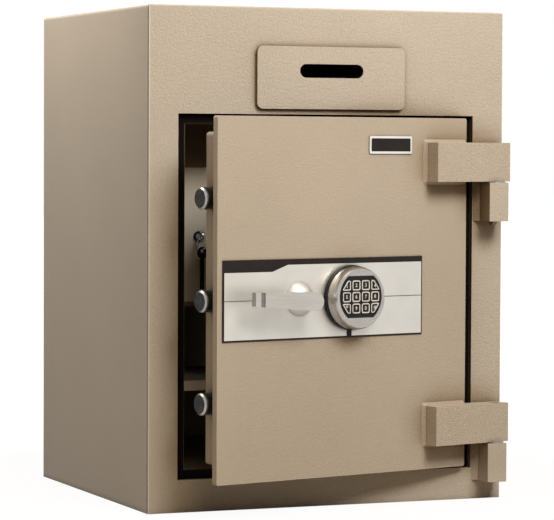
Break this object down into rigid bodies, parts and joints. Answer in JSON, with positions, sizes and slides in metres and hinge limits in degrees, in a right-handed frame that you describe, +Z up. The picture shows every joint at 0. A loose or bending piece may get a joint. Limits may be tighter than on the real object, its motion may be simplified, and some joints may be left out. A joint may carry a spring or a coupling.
{
  "type": "deposit safe",
  "caption": "Deposit safe: letter slot with baffle chute over a keypad-locked door on outside hinges, bolts, lever handle, inner locker and shelf.",
  "frame": {"origin": "middle of the cabinet's footprint, on the ground", "axes": "+Z up, the front with the door and the letter slot looks along -Y, +X to the hinge side"},
  "size_m": [0.5031, 0.5703, 0.65],
  "materials": {
    "paint": "hammertone",
    "inner_paint": "satin",
    "barrier": "rough",
    "zinc_steel": "zinc",
    "bolt_steel": "turned",
    "satin_metal": "satin",
    "silver_plate": "satin",
    "keypad_metal": "turned",
    "black_plastic": "satin",
    "key_plastic": "satin",
    "seal_rubber": "matte",
    "key_nickel": "polished",
    "black_paint": "satin"
  },
  "bodies": {
    "cabinet": {"shell": "paint", "front_plate": "paint", "door_lip": "inner_paint", "door_seal": "seal_rubber", "liner_wrap": "inner_paint", "liner_sides": "inner_paint", "liner_ceiling": "inner_paint", "barrier_fill": "barrier", "anchor_sleeves": "zinc_steel", "letter_plate": "paint", "slot_throat": "black_paint", "chute": "inner_paint", "baffle": "black_paint", "locker_carcass": "inner_paint", "locker_hinge_pins": "zinc_steel", "shelf": "inner_paint", "shelf_brackets": "zinc_steel", "hinge_posts": "paint", "hinge_pins": "zinc_steel", "hinge_washers": "bolt_steel"},
    "door": {"door_slab": "paint", "door_pan": "paint", "pan_standoffs": "zinc_steel", "pan_screws": "zinc_steel", "hinge_arms": "paint", "arm_welds": "paint", "panel_back": "black_plastic", "panel_front": "silver_plate", "badge_plate": "silver_plate", "handle_rose": "satin_metal", "lock_case": "inner_paint", "bolt_bushes": "zinc_steel", "dog_bar": "zinc_steel", "keypad_base": "black_plastic", "keypad_housing": "keypad_metal", "keypad_pad": "black_plastic"},
    "handle": {"handle_lever": "satin_metal", "handle_spindle": "zinc_steel", "handle_crank": "zinc_steel"},
    "boltwork": {"bolt_carriage": "zinc_steel", "locking_bolts": "bolt_steel"},
    "lock_bolt": {"lock_bolt": "bolt_steel"},
    "key_1": {"key_1": "key_plastic"},
    "key_2": {"key_2": "key_plastic"},
    "key_3": {"key_3": "key_plastic"},
    "key_4": {"key_4": "key_plastic"},
    "key_5": {"key_5": "key_plastic"},
    "key_6": {"key_6": "key_plastic"},
    "key_7": {"key_7": "key_plastic"},
    "key_8": {"key_8": "key_plastic"},
    "key_left": {"key_left": "key_plastic"},
    "key_9": {"key_9": "key_plastic"},
    "key_0": {"key_0": "key_plastic"},
    "key_right": {"key_right": "key_plastic"},
    "locker_door": {"locker_door": "inner_paint", "locker_lock": "black_plastic"},
    "locker_key": {"locker_cam": "key_nickel", "locker_key": "key_nickel"},
    "spare_keys": {"key_ring": "key_nickel", "spare_key": "black_paint"}
  },
  "joints": [
    {"name": "door_swing", "type": "hinge", "parent": "cabinet", "child": "door", "pos_m": [0.234, -0.2365, 0.25], "axis": [0, 0, 1], "range_deg": [-13.2, 76.8]},
    {"name": "handle_turn", "type": "hinge", "parent": "door", "child": "handle", "pos_m": [-0.0733, -0.29265, 0.2761], "axis": [0.2284, -0.9736, 0], "range_deg": [0, 70]},
    {"name": "bolts_throw", "type": "slide", "parent": "door", "child": "boltwork", "axis": [0.9736, 0.2284, 0], "range_m": [0, 0.01492]},
    {"name": "lock_bolt_throw", "type": "slide", "parent": "door", "child": "lock_bolt", "axis": [0, 0, 1], "range_m": [-0.008, 0]},
    {"name": "press_1", "type": "slide", "parent": "door", "child": "key_1", "axis": [-0.2284, 0.9736, 0], "range_m": [0, 0.001], "stiffness_N_per_m": 600, "springref_m": -0.0005},
    {"name": "press_2", "type": "slide", "parent": "door", "child": "key_2", "axis": [-0.2284, 0.9736, 0], "range_m": [0, 0.001], "stiffness_N_per_m": 600, "springref_m": -0.0005},
    {"name": "press_3", "type": "slide", "parent": "door", "child": "key_3", "axis": [-0.2284, 0.9736, 0], "range_m": [0, 0.001], "stiffness_N_per_m": 600, "springref_m": -0.0005},
    {"name": "press_4", "type": "slide", "parent": "door", "child": "key_4", "axis": [-0.2284, 0.9736, 0], "range_m": [0, 0.001], "stiffness_N_per_m": 600, "springref_m": -0.0005},
    {"name": "press_5", "type": "slide", "parent": "door", "child": "key_5", "axis": [-0.2284, 0.9736, 0], "range_m": [0, 0.001], "stiffness_N_per_m": 600, "springref_m": -0.0005},
    {"name": "press_6", "type": "slide", "parent": "door", "child": "key_6", "axis": [-0.2284, 0.9736, 0], "range_m": [0, 0.001], "stiffness_N_per_m": 600, "springref_m": -0.0005},
    {"name": "press_7", "type": "slide", "parent": "door", "child": "key_7", "axis": [-0.2284, 0.9736, 0], "range_m": [0, 0.001], "stiffness_N_per_m": 600, "springref_m": -0.0005},
    {"name": "press_8", "type": "slide", "parent": "door", "child": "key_8", "axis": [-0.2284, 0.9736, 0], "range_m": [0, 0.001], "stiffness_N_per_m": 600, "springref_m": -0.0005},
    {"name": "press_left", "type": "slide", "parent": "door", "child": "key_left", "axis": [-0.2284, 0.9736, 0], "range_m": [0, 0.001], "stiffness_N_per_m": 600, "springref_m": -0.0005},
    {"name": "press_9", "type": "slide", "parent": "door", "child": "key_9", "axis": [-0.2284, 0.9736, 0], "range_m": [0, 0.001], "stiffness_N_per_m": 600, "springref_m": -0.0005},
    {"name": "press_0", "type": "slide", "parent": "door", "child": "key_0", "axis": [-0.2284, 0.9736, 0], "range_m": [0, 0.001], "stiffness_N_per_m": 600, "springref_m": -0.0005},
    {"name": "press_right", "type": "slide", "parent": "door", "child": "key_right", "axis": [-0.2284, 0.9736, 0], "range_m": [0, 0.001], "stiffness_N_per_m": 600, "springref_m": -0.0005},
    {"name": "locker_door_swing", "type": "hinge", "parent": "cabinet", "child": "locker_door", "pos_m": [-0.039, -0.093, 0.3505], "axis": [0, 0, 1], "range_deg": [0, 90]},
    {"name": "locker_key_turn", "type": "hinge", "parent": "locker_door", "child": "locker_key", "pos_m": [-0.1375, -0.102, 0.3505], "axis": [0, 1, 0], "range_deg": [-90, 0]},
    {"name": "spare_keys_swing", "type": "hinge", "parent": "locker_key", "child": "spare_keys", "pos_m": [-0.1375, -0.1147, 0.3505], "axis": [-1, 0, 0], "range_deg": [-10, 60]}
  ],
  "couplings": [
    {"joint": "bolts_throw", "follows": "handle_turn", "m_per_rad": 0.012206}
  ]
}
